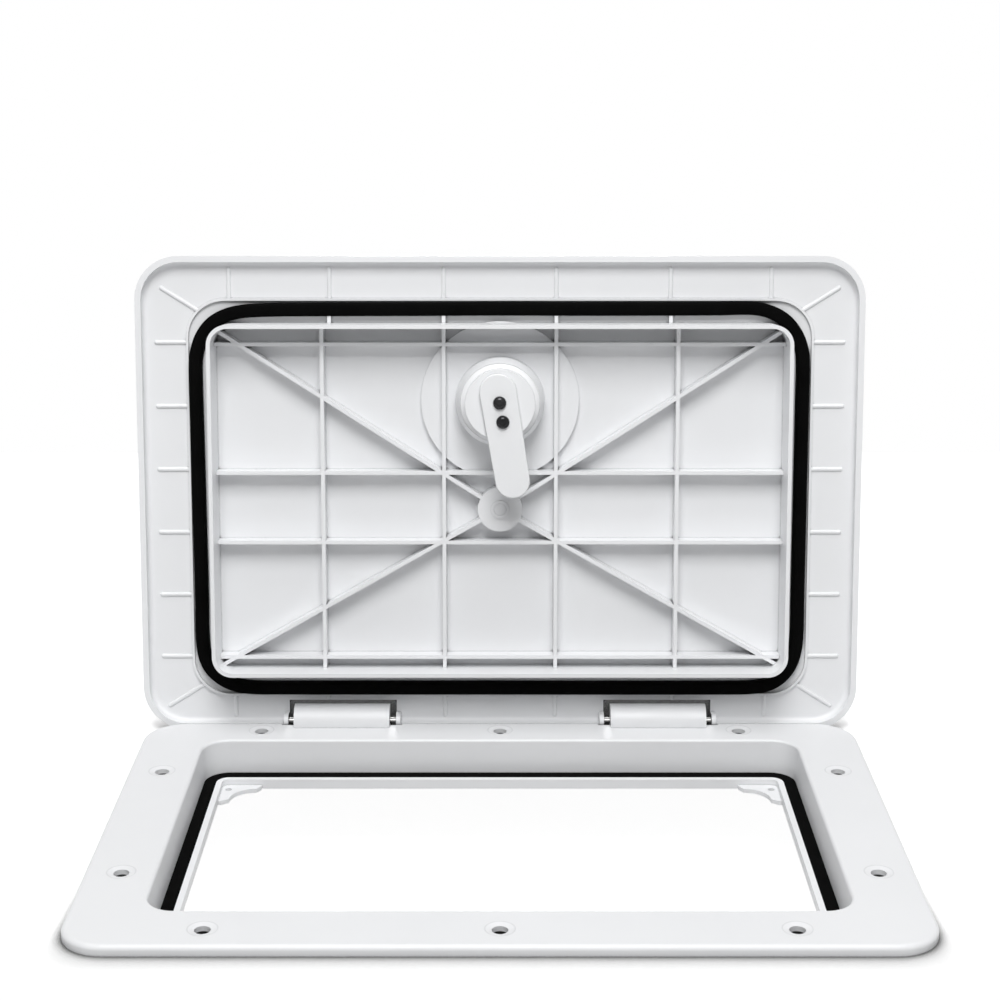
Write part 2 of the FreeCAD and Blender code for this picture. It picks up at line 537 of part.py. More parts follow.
def add_barrel(body, side):
    """Rounded hinge barrel across the rear edge, with slots for the lid's ears and a bore for the pin."""
    name = "left" if side < 0 else "right"
    middle = "%d * Sizes.hinge_spread / 2" % side

    slots = new_sketch(body, "ear_slots_" + name, level="Sizes.flange_thick", across=middle)
    back = "Sizes.frame_rear + Sizes.ear_gap"
    polygon(slots, [("-Places.slot_half", "Places.slot_front"), ("Places.slot_half", "Places.slot_front"),
                    ("Places.slot_half", back), ("-Places.slot_half", back)])
    pocket(body, slots, "Sizes.flange_thick")

    barrel = new_sketch(body, "barrel_" + name, "YZ_Plane", level=middle)
    rear = value("Sizes.lid_rear")
    radius = value("Sizes.barrel_radius")
    axis = Vector(value("Places.hinge_rear"), value("Places.hinge_level"), 0)
    start = math.asin(-value("Sizes.hinge_lift") / radius)
    front_angle = math.pi - start
    rear_angle = math.acos(rear / radius)
    ring = Part.Circle(axis, Vector(0, 0, 1), radius)
    dome = barrel.addGeometry(Part.ArcOfCircle(ring, rear_angle, front_angle), False)
    front_top = axis + Vector(math.cos(front_angle) * radius, math.sin(front_angle) * radius, 0)
    rear_top = axis + Vector(rear, math.sin(rear_angle) * radius, 0)
    foot_front = Vector(front_top.x, 0, 0)
    foot_rear = Vector(rear_top.x, 0, 0)
    down = sketch_line(barrel, front_top, foot_front)
    under = sketch_line(barrel, foot_front, foot_rear)
    up = sketch_line(barrel, foot_rear, rear_top)
    join(barrel, (dome, END), (down, START))
    join(barrel, (down, END), (under, START))
    join(barrel, (under, END), (up, START))
    join(barrel, (up, END), (dome, START))
    barrel.addConstraint(Sketcher.Constraint("Vertical", down))
    barrel.addConstraint(Sketcher.Constraint("Vertical", up))
    barrel.addConstraint(Sketcher.Constraint("PointOnObject", under, START, X_AXIS))
    barrel.addConstraint(Sketcher.Constraint("PointOnObject", under, END, X_AXIS))
    constrain(barrel, "Sizes.barrel_radius", "Radius", dome)
    fix_point(barrel, dome, CENTRE, "Places.hinge_rear", "Places.hinge_level")
    constrain(barrel, "Sizes.flange_thick", "DistanceY", ORIGIN, START, dome, END)
    constrain(barrel, "Places.hinge_rear + Sizes.lid_rear", "DistanceX", ORIGIN, START, under, END)
    pad(body, barrel, "Sizes.barrel_width", midplane=True)

    bore = new_sketch(body, "pin_bore_" + name, "YZ_Plane", level=middle)
    circle(bore, "Sizes.pin_diameter / 2", "Places.hinge_rear", "Places.hinge_level")
    pocket(body, bore, "Sizes.barrel_width", midplane=True)


def add_screw_holes(body):
    """Ten deck screw holes through the flange, each in the middle of a shallow dish."""
    centres = new_sketch(body, "screw_centres", level="Sizes.flange_thick")
    for end in (-1, 1):
        row = "%d * Places.screw_span_y / 2" % end
        for column in (-1, 0, 1):
            circle(centres, "Sizes.screw_hole / 2", "%d * Places.screw_span_x" % column, row)
        for side in (-1, 1):
            circle(centres, "Sizes.screw_hole / 2", "%d * Places.side_screw_x / 2" % side,
                   "%d * Sizes.side_screw_y / 2" % end)
    doc.recompute()
    holes = body.newObject("PartDesign::Hole", "screw_holes")
    holes.Profile = centres
    holes.ThreadType = 0
    holes.DepthType = 0
    holes.HoleCutType = 2
    holes.DrillPoint = 0
    bind(holes, Diameter="Sizes.screw_hole", Depth="Sizes.flange_thick", HoleCutDiameter="Sizes.screw_dish")
    holes.setExpression("HoleCutCountersinkAngle",
                        "2 * atan((Sizes.screw_dish - Sizes.screw_hole) / (2 * Sizes.screw_dish_depth))")


# Soft ring lying in the frame's groove
def make_frame_seal():
    body = new_body("frame_seal")
    outline = new_sketch(body, "seal_outline", level="Places.ledge_level", centre="Places.opening_centre")
    rounded_rectangle(outline, "Places.seat_width", "Places.seat_depth", "Places.seat_corner")
    rounded_rectangle(outline, "Places.lip_width", "Places.lip_depth", "Places.lip_corner")
    pad(body, outline, "Sizes.seal_thick")
    return body


# Hinge pins: plain rods held by the barrels and turning in the lid's ears
def make_hinge_pin(side):
    body = new_body("hinge_pin_left" if side < 0 else "hinge_pin_right")
    section = new_sketch(body, body.Name + "_section", "YZ_Plane", level="%d * Sizes.hinge_spread / 2" % side)
    circle(section, "Sizes.pin_diameter / 2", "Places.hinge_rear", "Places.hinge_level")
    pad(body, section, "Sizes.notch_width + 2 * Sizes.ear_thick", midplane=True)
    return body


def lid_placement():
    """From the closed lid's own frame, about its hinge axis, to the open lid."""
    axis = Vector(0, place("hinge_rear"), place("hinge_level"))
    return Placement(axis, Rotation(Vector(1, 0, 0), -size("open_angle")))


# Lid shell: skin, rim, plug wall, gasket ridge, notches, ears and latch boss
def make_lid_shell():
    body = new_body("lid_shell")

    outline = new_sketch(body, "lid_outline", level="Places.rim_level", centre="Places.lid_centre")
    rounded_rectangle(outline, "Places.lid_width", "Places.lid_depth", "Sizes.lid_corner")
    slab = pad(body, outline, "Sizes.lid_thick")
    face = place("face_level")
    fillet(body, slab, lambda point: near(point.z, face), "Sizes.lid_round")

    pan = new_sketch(body, "pan_outline", level="Places.rim_level", centre="Places.lid_centre")
    rounded_rectangle(pan, "Places.pan_width", "Places.pan_depth", "Places.pan_corner")
    hollow = pocket(body, pan, "Sizes.lid_thick - Sizes.lid_skin", upward=True)
    floor = place("floor_level")
    fillet(body, hollow, lambda point: near(point.z, floor), "Sizes.lid_cove")

    wall = new_sketch(body, "plug_outline", level="Places.floor_level + Sizes.lid_skin / 2",
                      centre="Places.plug_centre")
    rounded_rectangle(wall, "Places.plug_width", "Places.plug_depth", "Sizes.plug_corner")
    rounded_rectangle(wall, "Places.plug_width - 2 * Sizes.plug_wall",
                      "Places.plug_depth - 2 * Sizes.plug_wall", "Sizes.plug_corner - Sizes.plug_wall")
    pad(body, wall, "Places.floor_level + Sizes.lid_skin / 2 - Places.plug_end", downward=True)

    keeper = new_sketch(body, "gasket_ridge", level="Places.floor_level + Sizes.lid_skin / 2",
                        centre="Places.gasket_centre")
    rounded_rectangle(keeper, "Places.keeper_width", "Places.keeper_depth", "Sizes.keeper_corner")
    rounded_rectangle(keeper, "Places.keeper_width - 2 * Sizes.keeper_thick",
                      "Places.keeper_depth - 2 * Sizes.keeper_thick",
                      "Sizes.keeper_corner - Sizes.keeper_thick")
    pad(body, keeper, "Sizes.keeper_height + Sizes.lid_skin / 2", downward=True)

    boss = new_sketch(body, "latch_boss", "XZ_Plane", level="Places.latch_centre")
    inside = "Places.floor_level + Sizes.lid_skin / 2"
    polygon(boss, [("0", inside), ("Places.disc_radius", inside), ("Places.disc_radius", "Places.disc_level"),
                   ("Sizes.boss_radius", "Places.disc_level"),
                   ("Sizes.boss_radius", "Places.boss_level + Sizes.boss_taper"),
                   ("Sizes.boss_top_radius", "Places.boss_level"), ("0", "Places.boss_level")])
    turned = body.newObject("PartDesign::Revolution", "latch_boss_turned")
    turned.Profile = boss
    turned.ReferenceAxis = (boss, ["V_Axis"])
    turned.Angle = 360

    for side in (-1, 1):
        add_notch(body, side)
    return body


def add_notch(body, side):
    """Notch round one hinge barrel, with an ear on each side for the pin."""
    name = "left" if side < 0 else "right"
    middle = "%d * Sizes.hinge_spread / 2" % side
    level = "Places.floor_level + Sizes.lid_skin / 2"
    web = new_sketch(body, "ear_web_" + name, "YZ_Plane", level=middle)
    polygon(web, [("-Sizes.ear_radius", "0"), ("Sizes.lid_rear - Sizes.lid_rim / 2", "0"),
                  ("Sizes.lid_rear - Sizes.lid_rim / 2", level), ("-Sizes.ear_radius", level)])
    pad(body, web, "Sizes.notch_width + 2 * Sizes.ear_thick", midplane=True)
    ear = new_sketch(body, "ear_" + name, "YZ_Plane", level=middle)
    circle(ear, "Sizes.ear_radius")
    pad(body, ear, "Sizes.notch_width + 2 * Sizes.ear_thick", midplane=True)

    notch = new_sketch(body, "notch_" + name, level="Places.face_level", across=middle,
                       centre="(Sizes.lid_rear - Sizes.notch_reach) / 2 + Sizes.notch_corner")
    rounded_rectangle(notch, "Sizes.notch_width",
                      "Sizes.notch_reach + Sizes.lid_rear + 2 * Sizes.notch_corner",
                      "Sizes.notch_corner")
    pocket(body, notch, "Sizes.lid_thick + Sizes.ear_radius + Sizes.hinge_lift")

    bore = new_sketch(body, "ear_bore_" + name, "YZ_Plane", level=middle)
    circle(bore, "Sizes.pin_diameter / 2 + Sizes.pin_play")
    pocket(body, bore, "Sizes.notch_width + 2 * Sizes.ear_thick", midplane=True)


def placed_box(name, length, width, height, across, along, level, angle="0"):
    """Straight rib: a box centred on across and along, turned by angle, standing up from level."""
    box = doc.addObject("Part::Box", name)
    bind(box, Length=length, Width=width, Height=height)
    turn = Rotation(Vector(0, 0, 1), value(angle))
    offset = turn.multVec(Vector(-value(length) / 2, -value(width) / 2, 0))
    box.Placement = Placement(Vector(value(across), value(along), value(level)) + offset, turn)
    return box


def bead(name, start, end):
    """Half-round rib lying on the lid's floor between two points, with round ends."""
    run = end - start
    level = Vector(0, 0, place("floor_level") + size("bead_sink"))
    rod = doc.addObject("Part::Cylinder", name)
    bind(rod, Radius="Sizes.bead_radius")
    rod.Height = run.Length
    rod.Placement = Placement(start + level, Rotation(Vector(0, 0, 1), run))
    tip = doc.addObject("Part::Sphere", name + "_end")
    bind(tip, Radius="Sizes.bead_radius")
    tip.Placement = Placement(end + level, Rotation())
    return [rod, tip]


def make_inner_ribs():
    """Ribs inside the plug wall: four lengthways, four crossways and four slanting to the hub."""
    ribs = []
    depth = "Sizes.rib_height + Sizes.lid_skin / 2"
    low = "Places.floor_level - Sizes.rib_height"
    length = "Places.plug_depth - Sizes.plug_wall"
    for name, distance in (("near", "Sizes.rib_near_x"), ("far", "Sizes.rib_far_x")):
        for side in (-1, 1):
            ribs.append(placed_box("rib_%s_%d" % (name, side + 1), "Sizes.rib_thick", length, depth,
                                   "%d * %s" % (side, distance), "Places.plug_centre", low))
    width = "Places.plug_width - Sizes.plug_wall"
    for name in ("rib_front", "rib_mid_front", "rib_mid_rear", "rib_rear"):
        ribs.append(placed_box(name + "_bar", width, "Sizes.rib_thick", depth, "0", "-Places." + name, low))
    gap = "Places.gasket_front - Sizes.gasket_band - Sizes.gap_rib_play - Places.plug_front"
    for name, distance in (("near", "Sizes.bead_near_x"), ("far", "Sizes.bead_far_x")):
        for side in (-1, 1):
            ribs.append(placed_box("gap_rib_%s_%d" % (name, side + 1), "Sizes.rib_thick",
                                   gap + " + Sizes.plug_wall / 2", "Sizes.gap_rib_height + Sizes.lid_skin / 2",
                                   "%d * %s" % (side, distance),
                                   "-(Places.plug_front - Sizes.plug_wall / 4 + (%s) / 2)" % gap,
                                   "Places.floor_level - Sizes.gap_rib_height"))
    hub = Vector(0, -place("hub_centre"), 0)
    round_middle = size("plug_corner") - size("plug_wall") / 2
    inset = size("plug_wall") / 2 + round_middle * (1 - math.sqrt(0.5))
    for side in (-1, 1):
        for edge in ("plug_front", "plug_rear"):
            inward = 1 if edge == "plug_front" else -1
            corner = Vector(side * (place("plug_width") / 2 - inset), -place(edge) + inward * inset, 0)
            run = corner - hub
            middle = (corner + hub) * 0.5
            slant = placed_box("rib_slant_%d_%s" % (side + 1, edge), "%f" % run.Length,
                               "Sizes.rib_thick", depth, "%f" % middle.x, "%f" % middle.y, low,
                               "%f" % math.degrees(math.atan2(run.y, run.x)))
            ribs.append(slant)
    return ribs


def make_hub():
    """Round hub in the middle of the ribs, with a small raised ring."""
    hub = doc.addObject("Part::Cylinder", "hub_disc")
    bind(hub, Radius="Sizes.hub_radius", Height="Sizes.rib_height + Sizes.hub_rise + Sizes.lid_skin / 2")
    low = place("floor_level") - size("rib_height") - size("hub_rise")
    hub.Placement = Placement(Vector(0, -place("hub_centre"), low), Rotation())
    outer = doc.addObject("Part::Cylinder", "hub_ring_outer")
    bind(outer, Radius="Sizes.hub_ring_radius", Height="Sizes.hub_ring_height + Sizes.hub_rise")
    inner = doc.addObject("Part::Cylinder", "hub_ring_inner")
    bind(inner, Radius="Sizes.hub_ring_radius - Sizes.hub_ring_wall",
         Height="Sizes.hub_ring_height + Sizes.hub_rise")
    for drum in (outer, inner):
        drum.Placement = Placement(Vector(0, -place("hub_centre"), low - size("hub_ring_height")), Rotation())
    ring = doc.addObject("Part::Cut", "hub_ring")
    ring.Base = outer
    ring.Tool = inner
    return [hub, ring]


def make_border_beads():
    """Half-round ribs on the lid's border, from the gasket ridge towards the rim, in named groups."""
    groups = []
    reach = place("bead_side_reach")
    ridge_x = place("keeper_width") / 2 - size("keeper_thick") / 2
    ridge_front = -place("gasket_front") - size("keeper_gap") - size("keeper_thick") / 2
    ridge_rear = -place("gasket_rear") + size("keeper_gap") + size("keeper_thick") / 2
    front_reach = -place("lid_front") + size("lid_rim") + size("bead_rim_gap")
    rear_reach = size("lid_rear") - size("lid_rim") - size("bead_rim_gap")
    notch_reach = -size("notch_reach") - size("bead_radius") - size("bead_notch_gap")
    for side in (-1, 1):
        hand = "left" if side < 0 else "right"
        sides, ends, corners = [], [], []
        for number in range(6):
            along = -size("bead_side_first") - number * place("bead_side_pitch")
            sides += bead("side_bead_%s_%d" % (hand, number), Vector(side * ridge_x, along, 0),
                          Vector(side * reach, along, 0))
        for name in ("bead_near_x", "bead_far_x", "bead_corner_x"):
            across = side * size(name)
            ends += bead("front_%s_%s" % (name, hand), Vector(across, ridge_front, 0),
                         Vector(across, front_reach, 0))
        for name in ("bead_near_x", "bead_notch_x", "bead_corner_x"):
            across = side * size(name)
            rear_end = notch_reach if name == "bead_notch_x" else rear_reach
            ends += bead("rear_%s_%s" % (name, hand), Vector(across, ridge_rear, 0),
                         Vector(across, rear_end, 0))
        for end, ridge in ((-1, ridge_front), (1, ridge_rear)):
            inset = size("keeper_corner") * (1 - math.sqrt(0.5))
            start = Vector(side * (ridge_x - inset), ridge - end * inset, 0)
            angle = math.radians(size("bead_corner_angle"))
            slope = Vector(side * math.cos(angle), end * math.sin(angle), 0)
            corners += bead("corner_bead_%s_%d" % (hand, end + 1), start,
                            start + slope * size("bead_corner_length"))
        groups += [("side_beads_" + hand, sides), ("end_beads_" + hand, ends),
                   ("corner_beads_" + hand, corners)]
    return groups


def cylinder(name, radius, height, low):
    """Upright cylinder on the latch axis, standing on level low."""
    drum = doc.addObject("Part::Cylinder", name)
    bind(drum, Radius=radius, Height=height)
    drum.Placement = Placement(Vector(0, -place("latch_centre"), value(low)), Rotation())
    return drum


def make_lid():
    """Lid moulding: the shell with its ribs, hub and border ribs in one piece, cut out for the knob."""
    shell = make_lid_shell()
    doc.recompute()
    ribbed = doc.addObject("Part::MultiFuse", "lid_ribbed")
    ribbed.Shapes = [shell] + make_inner_ribs() + make_hub()
    whole = ribbed
    for name, beads in make_border_beads():
        joined = doc.addObject("Part::MultiFuse", "lid_with_" + name)
        joined.Shapes = [whole] + beads
        whole = joined
    room = doc.addObject("Part::Fuse", "knob_room")
    room.Base = cylinder("knob_recess", "Sizes.recess_radius", "Sizes.recess_depth", "Places.recess_level")
    room.Tool = cylinder("drum_bore", "Places.bore_radius", "Places.face_level - Places.boss_level",
                         "Places.boss_level")
    lid = doc.addObject("Part::Cut", "lid")
    lid.Label = "lid"
    lid.Base = whole
    lid.Tool = room
    lid.Placement = lid_placement()
    return lid


# Soft ring on the lid that bears on the flange round the opening
def make_lid_gasket():
    body = new_body("lid_gasket")
    outline = new_sketch(body, "gasket_outline", level="Places.floor_level", centre="Places.gasket_centre")
    rounded_rectangle(outline, "Places.gasket_width", "Places.gasket_depth", "Sizes.gasket_corner_front",
                      "Sizes.gasket_corner_rear")
    rounded_rectangle(outline, "Places.gasket_width - 2 * Sizes.gasket_band",
                      "Places.gasket_depth - 2 * Sizes.gasket_band",
                      "Sizes.gasket_corner_front - Sizes.gasket_band",
                      "Sizes.gasket_corner_rear - Sizes.gasket_band")
    ring = pad(body, outline, "Sizes.lid_thick - Sizes.lid_skin - Sizes.gasket_gap", downward=True)
    low = place("rim_level") + size("gasket_gap")
    fillet(body, ring, lambda point: near(point.z, low), "Sizes.gasket_round")
    body.Placement = lid_placement()
    return body


def latch_placement():
    """From the latch's own frame, about its axis, to the open lid with the tongue unlocked."""
    local = Placement(Vector(0, -place("latch_centre"), 0), Rotation(Vector(0, 0, 1), -size("tongue_rest")))
    return lid_placement().multiply(local)


# Knob: a disc flush in the lid, a grip bar between two finger wells and a drum through the boss
def make_knob():
    body = new_body("knob")
    profile = new_sketch(body, "knob_profile", "XZ_Plane")
    drum, seat = "Sizes.drum_radius", "Places.knob_seat"
    polygon(profile, [("0", "Places.tongue_top"), (drum, "Places.tongue_top"), (drum, "Places.ring_bottom"),
                      ("Sizes.ring_seat", "Places.ring_bottom"), ("Sizes.ring_seat", "Places.ring_top"),
                      (drum, "Places.ring_top"), (drum, seat), ("Places.knob_radius", seat),
                      ("Places.knob_radius", "Places.knob_face"), ("0", "Places.knob_face")])
    turned = body.newObject("PartDesign::Revolution", "knob_turned")
    turned.Profile = profile
    turned.ReferenceAxis = (profile, ["V_Axis"])
    turned.Angle = 360

    groove = new_sketch(body, "o_ring_groove", "XZ_Plane")
    inner, outer = "Places.o_ring_track - Sizes.o_ring_section / 2", "Sizes.drum_radius + Sizes.cut_margin"
    lower, upper = ("Places.o_ring_level - Sizes.o_ring_groove / 2",
                    "Places.o_ring_level + Sizes.o_ring_groove / 2")
    polygon(groove, [(inner, lower), (outer, lower), (outer, upper), (inner, upper)])
    ring_cut = body.newObject("PartDesign::Groove", "o_ring_groove_cut")
    ring_cut.Profile = groove
    ring_cut.ReferenceAxis = (groove, ["V_Axis"])
    ring_cut.Angle = 360

    for side in (-1, 1):
        well = new_sketch(body, "finger_well_%d" % (side + 1), level="Places.knob_face")
        half, radius = value("Sizes.grip_width / 2"), value("Sizes.grip_well")
        angle = math.asin(half / radius)
        ring = Part.Circle(Vector(0, 0, 0), Vector(0, 0, 1), radius)
        start = angle if side > 0 else math.pi + angle
        end = math.pi - angle if side > 0 else 2 * math.pi - angle
        arc = well.addGeometry(Part.ArcOfCircle(ring, start, end), False)
        chord = sketch_line(well, ring.value(end), ring.value(start))
        join(well, (arc, END), (chord, START))
        join(well, (chord, END), (arc, START))
        fix_point(well, arc, CENTRE, "0", "0")
        well.addConstraint(Sketcher.Constraint("Horizontal", chord))
        constrain(well, "Sizes.grip_well", "Radius", arc)
        if side > 0:
            constrain(well, "Sizes.grip_width / 2", "DistanceY", ORIGIN, START, chord, START)
        else:
            constrain(well, "Sizes.grip_width / 2", "DistanceY", chord, START, ORIGIN, START)
        pocket(body, well, "Sizes.grip_depth")

    for name, along in SCREW_PLACES:
        seat_hole = new_sketch(body, "insert_seat_" + name, level="Places.tongue_top")
        circle(seat_hole, "Sizes.insert_diameter / 2", "0", along)
        pocket(body, seat_hole, "Sizes.insert_length", upward=True)
    body.Placement = latch_placement()
    return body


def make_knob_washer():
    body = new_body("knob_washer")
    outline = new_sketch(body, "washer_outline", level="Places.washer_level")
    circle(outline, "Places.knob_radius")
    circle(outline, "Places.knob_radius - Sizes.washer_band")
    pad(body, outline, "Sizes.washer_thick")
    body.Placement = latch_placement()
    return body


def make_drum_o_ring():
    body = new_body("drum_o_ring")
    section = new_sketch(body, "o_ring_section", "XZ_Plane")
    circle(section, "Sizes.o_ring_section / 2", "Places.o_ring_track",
           "Places.o_ring_level")
    ring = body.newObject("PartDesign::Revolution", "o_ring_turned")
    ring.Profile = section
    ring.ReferenceAxis = (section, ["V_Axis"])
    ring.Angle = 360
    body.Placement = latch_placement()
    return body


def make_retaining_ring():
    """Ring snapped into the drum's groove beyond the boss, with a bevelled outer edge."""
    body = new_body("retaining_ring")
    profile = new_sketch(body, "ring_profile", "XZ_Plane")
    bevel = "Places.ring_bottom + Sizes.ring_thick / 2"
    polygon(profile, [("Sizes.ring_seat", "Places.ring_bottom"), ("Sizes.ring_face", "Places.ring_bottom"),
                      ("Sizes.ring_radius", bevel), ("Sizes.ring_radius", "Places.ring_top"),
                      ("Sizes.ring_seat", "Places.ring_top")])
    ring = body.newObject("PartDesign::Revolution", "ring_turned")
    ring.Profile = profile
    ring.ReferenceAxis = (profile, ["V_Axis"])
    ring.Angle = 360
    body.Placement = latch_placement()
    return body


def make_insert(name, along):
    """Threaded insert in the end of the drum."""
    body = new_body("screw_insert_" + name)
    outline = new_sketch(body, "insert_outline_" + name, level="Places.tongue_top")
    circle(outline, "Sizes.insert_diameter / 2", "0", along)
    circle(outline, "Sizes.shank_diameter / 2", "0", along)
    pad(body, outline, "Sizes.insert_length")
    body.Placement = latch_placement()
    return body


# Latch tongue: a plate with round ends that narrows and thins towards its tip
def make_tongue():
    body = new_body("latch_tongue")
    outline = new_sketch(body, "tongue_outline", level="Places.tongue_top")
    broad, narrow = value("Sizes.tongue_width / 2"), value("Sizes.tongue_tip_width / 2")
    tail, reach = value("Sizes.tongue_tail"), value("Sizes.tongue_reach")
    tail_centre, tip_centre = Vector(0, broad - tail, 0), Vector(0, reach - narrow, 0)
    lean = math.asin((broad - narrow) / (tip_centre.y - tail_centre.y))
    tail_ring = Part.Circle(tail_centre, Vector(0, 0, 1), broad)
    tip_ring = Part.Circle(tip_centre, Vector(0, 0, 1), narrow)
    tail_arc = outline.addGeometry(Part.ArcOfCircle(tail_ring, math.pi - lean, 2 * math.pi + lean), False)
    tip_arc = outline.addGeometry(Part.ArcOfCircle(tip_ring, lean, math.pi - lean), False)
    right = sketch_line(outline, tail_ring.value(lean), tip_ring.value(lean))
    left = sketch_line(outline, tip_ring.value(math.pi - lean), tail_ring.value(math.pi - lean))
    for first, second in (((tail_arc, END), (right, START)), ((right, END), (tip_arc, START)),
                          ((tip_arc, END), (left, START)), ((left, END), (tail_arc, START))):
        outline.addConstraint(Sketcher.Constraint("Tangent", *first, *second))
    constrain(outline, "Sizes.tongue_width / 2", "Radius", tail_arc)
    constrain(outline, "Sizes.tongue_tip_width / 2", "Radius", tip_arc)
    fix_point(outline, tail_arc, CENTRE, "0", "Sizes.tongue_width / 2 - Sizes.tongue_tail")
    fix_point(outline, tip_arc, CENTRE, "0", "Sizes.tongue_reach - Sizes.tongue_tip_width / 2")
    for name, along in SCREW_PLACES:
        circle(outline, "Sizes.shank_diameter / 2 + Sizes.shank_play", "0", along)
    pad(body, outline, "Sizes.tongue_thick", downward=True)

    wedge = new_sketch(body, "tongue_taper", "YZ_Plane")
    beyond = "Sizes.tongue_reach + Sizes.cut_margin"
    polygon(wedge, [("Sizes.tongue_crease", "Places.tongue_bottom"), (beyond, "Places.tongue_bottom"),
                    (beyond, "Places.tongue_top - Sizes.tongue_tip_thick")])
    tapered = pocket(body, wedge, "2 * Sizes.tongue_width", midplane=True)
    thinnest = place("tongue_top") - size("tongue_tip_thick")

    def on_rim(point):
        outside = Vector(point.x, point.y, 0).Length > size("tongue_width") / 2 - size("tongue_round")
        return outside and point.z < thinnest + size("tongue_round") and not near(abs(point.x), 0)
    fillet(body, tapered, on_rim, "Sizes.tongue_round")
    body.Placement = latch_placement()
    return body


def make_tongue_screw(name, along):
    """Button-head screw with a hexagon socket, holding the tongue to the drum."""
    body = new_body("tongue_screw_" + name)
    profile = new_sketch(body, "screw_profile_" + name, "XZ_Plane", level="-(%s)" % along)
    head, low = value("Sizes.head_diameter / 2"), place("tongue_bottom")
    tall, shank = size("head_height"), size("shank_diameter") / 2
    shank_end = low + size("shank_length")
    crown, bulge_out = size("head_flat") / 2, size("head_bulge")
    points = [Vector(0, low - tall, 0), Vector(crown, low - tall, 0), Vector(head, low, 0),
              Vector(shank, low, 0), Vector(shank, shank_end, 0), Vector(0, shank_end, 0)]
    bulge = (points[1] + points[2]) * 0.5 + Vector(bulge_out, -bulge_out, 0)
    lines = [sketch_line(profile, points[0], points[1])]
    dome = profile.addGeometry(Part.Arc(points[1], bulge, points[2]), False)
    lines += [sketch_line(profile, start, end) for start, end in zip(points[2:], points[3:] + points[:1])]
    for number in range(len(lines)):
        profile.addConstraint(Sketcher.Constraint("Block", lines[number]))
    profile.addConstraint(Sketcher.Constraint("Block", dome))
    turned = body.newObject("PartDesign::Revolution", "screw_turned_" + name)
    turned.Profile = profile
    turned.ReferenceAxis = (profile, ["V_Axis"])
    turned.Angle = 360

    socket = new_sketch(body, "socket_" + name, level="Places.tongue_bottom - Sizes.head_height", centre=along)
    corner = "Sizes.socket_across / (2 * cos(30))"
    corners = []
    for number in range(6):
        corners.append(("%s * cos(%d)" % (corner, 60 * number), "%s * sin(%d)" % (corner, 60 * number)))
    polygon(socket, corners)
    pocket(body, socket, "Sizes.socket_depth", upward=True)
    body.Placement = latch_placement()
    return body


SCREW_PLACES = (("inner", "-Sizes.screw_back"), ("outer", "Places.outer_screw"))

pieces = [make_frame(), make_frame_seal(), make_hinge_pin(-1), make_hinge_pin(1), make_lid(), make_lid_gasket(),
          make_knob(), make_knob_washer(), make_drum_o_ring(), make_retaining_ring(), make_tongue()]
for screw_name, screw_along in SCREW_PLACES:
    pieces.append(make_insert(screw_name, screw_along))
    pieces.append(make_tongue_screw(screw_name, screw_along))
doc.recompute()

for item in doc.Objects:
    if "Invalid" in item.State or "Error" in item.State:
        raise RuntimeError("%s is in state %s" % (item.Name, item.State))
for piece in pieces:
    if piece.Shape.isNull() or not piece.Shape.isValid():
        raise RuntimeError("%s has no valid shape" % piece.Label)

os.makedirs("parts", exist_ok=True)
for piece in pieces:
    piece.Shape.exportStep("parts/%s.step" % piece.Label)
    box = piece.Shape.BoundBox
    print("%-20s solids %d volume %.0f  x %.1f..%.1f y %.1f..%.1f z %.1f..%.1f" % (
        piece.Label, len(piece.Shape.Solids), piece.Shape.Volume,
        box.XMin, box.XMax, box.YMin, box.YMax, box.ZMin, box.ZMax))
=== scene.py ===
import math

import bmesh
import bpy
from mathutils import Matrix, Vector


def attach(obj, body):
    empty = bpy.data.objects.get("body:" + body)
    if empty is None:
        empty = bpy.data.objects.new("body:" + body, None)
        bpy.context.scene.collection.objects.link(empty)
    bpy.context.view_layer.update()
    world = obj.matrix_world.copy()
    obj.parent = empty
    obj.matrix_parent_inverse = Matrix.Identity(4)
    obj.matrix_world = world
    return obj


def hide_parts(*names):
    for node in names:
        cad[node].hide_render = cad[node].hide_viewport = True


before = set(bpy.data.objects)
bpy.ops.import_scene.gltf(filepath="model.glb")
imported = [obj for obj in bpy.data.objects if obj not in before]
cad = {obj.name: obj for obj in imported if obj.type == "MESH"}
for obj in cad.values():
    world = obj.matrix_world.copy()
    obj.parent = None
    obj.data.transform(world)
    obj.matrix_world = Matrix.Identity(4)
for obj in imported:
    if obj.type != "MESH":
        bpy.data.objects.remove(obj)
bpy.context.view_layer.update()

MM = 0.001

# Places of the real part that the finishes and the soft ring are set out from, in millimetres and degrees
FLANGE_TOP = 4.9
HINGE_SIDE, HINGE_REAR, HINGE_LEVEL = 83.0, 119.1, 5.7
OPEN_ANGLE = 98.23
# Hinge notches, and the soft edge of the painted shade on their walls
NOTCH_HALF, NOTCH_TOP = 28.25, 9.75
NOTCH_EDGE = 0.15
SCREW_HOLES = ((124.5, 107.8), (0.0, 107.8), (168.0, 55.4))
# Screw holes, and where painted shade goes low in them and along the line round each dish
HOLE_REACH, HOLE_SHADE_TOP, HOLE_UNSHADED_FROM = 3.8, 1.6, 2.0
DISH_LINE, DISH_LINE_HALF, DISH_LINE_END, DISH_LINE_SHADE = 6.4, 0.1, 0.5, 0.13

# A noise is mostly between these two values
NOISE_LOW, NOISE_HIGH = 0.3, 0.7


# Materials
def shader(name, colour, roughness, **inputs):
    """New material with a principled shader. Gives the material, its nodes, its links and the shader."""
    material = bpy.data.materials.new(name)
    material.use_nodes = True
    nodes = material.node_tree.nodes
    links = material.node_tree.links
    principled = nodes["Principled BSDF"]
    principled.inputs["Base Color"].default_value = (*colour, 1.0)
    principled.inputs["Roughness"].default_value = roughness
    for socket, amount in inputs.items():
        principled.inputs[socket.replace("_", " ")].default_value = amount
    return material, nodes, links, principled


